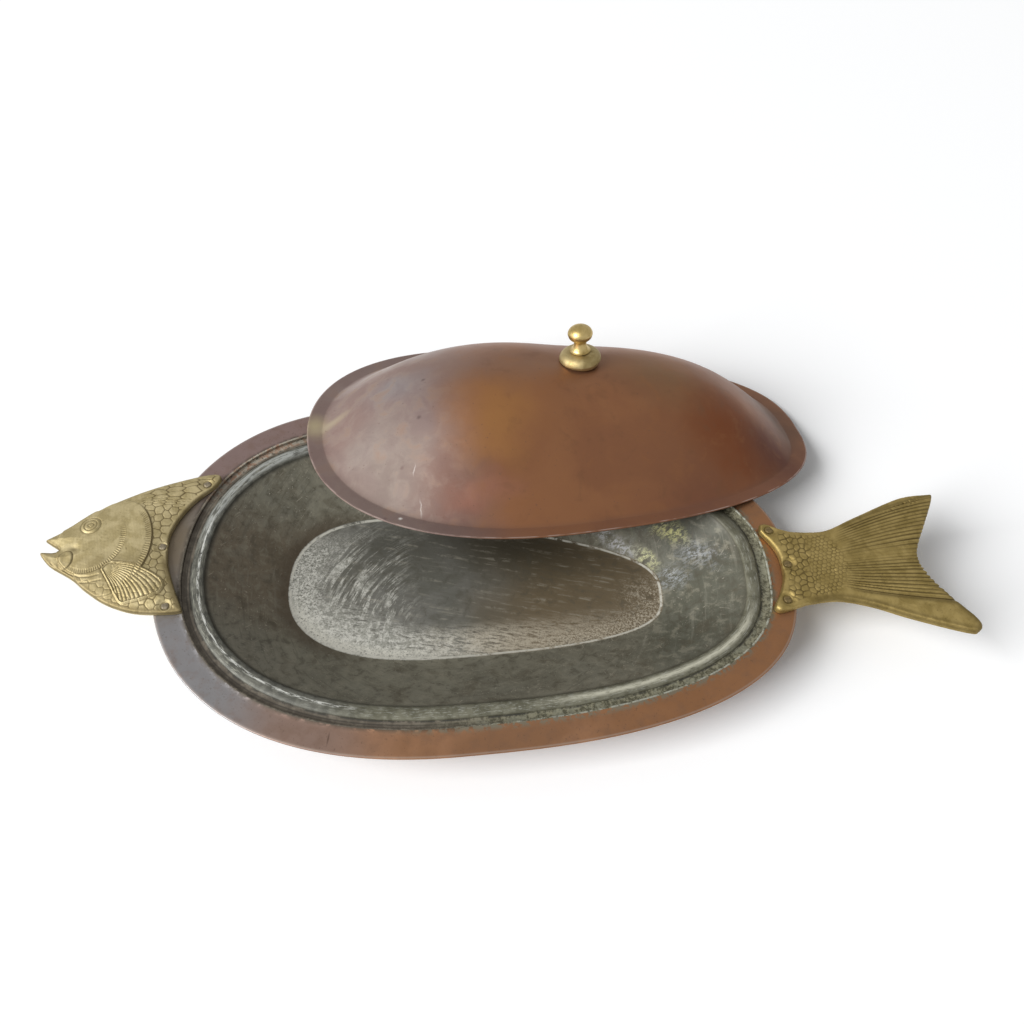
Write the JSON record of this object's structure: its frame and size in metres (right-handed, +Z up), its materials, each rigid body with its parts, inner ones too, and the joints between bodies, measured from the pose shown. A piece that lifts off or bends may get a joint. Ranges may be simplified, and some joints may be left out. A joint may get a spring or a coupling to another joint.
{
  "type": "serving dish",
  "caption": "Oval copper serving dish, tinned inside, with a cast brass fish head and tail as handles and a domed copper lid with a turned brass knob.",
  "frame": {"origin": "centre of the pan's flat underside, on the surface it stands on", "axes": "+Z up, +X along the dish from the fish head to the tail, +Y to the rear, where the lid lies"},
  "size_m": [0.5957, 0.3651, 0.1138],
  "materials": {
    "copper_pan": "worn copper with a brown patina, hot-tinned inside",
    "copper_lid": "dull satin copper with a red-brown patina",
    "brass_head": "pale cast brass, worn satin",
    "brass_tail": "darker cast brass, dull",
    "brass_knob": "turned brass, handled smooth",
    "grey_rivet": "dull grey hammered rivet",
    "brown_rivet": "dull brown hammered rivet",
    "brass_fixing": "plain brass hardware"
  },
  "bodies": {
    "dish": {"pan": "copper_pan", "head_handle": "brass_head", "tail_handle": "brass_tail", "head_rivet_1": "grey_rivet", "head_rivet_2": "grey_rivet", "head_rivet_3": "grey_rivet", "tail_rivet_1": "brown_rivet", "tail_rivet_2": "brown_rivet", "tail_rivet_3": "brown_rivet"},
    "lid": {"lid_shell": "copper_lid", "knob_base": "brass_knob", "knob": "brass_knob", "knob_stud": "brass_fixing", "knob_washer": "brass_fixing", "knob_nut": "brass_fixing"}
  },
  "joints": [
    {"name": "lid_lift", "type": "slide", "parent": "dish", "child": "lid", "axis": [0, 0, 1], "range_m": [0, 0.15]}
  ]
}
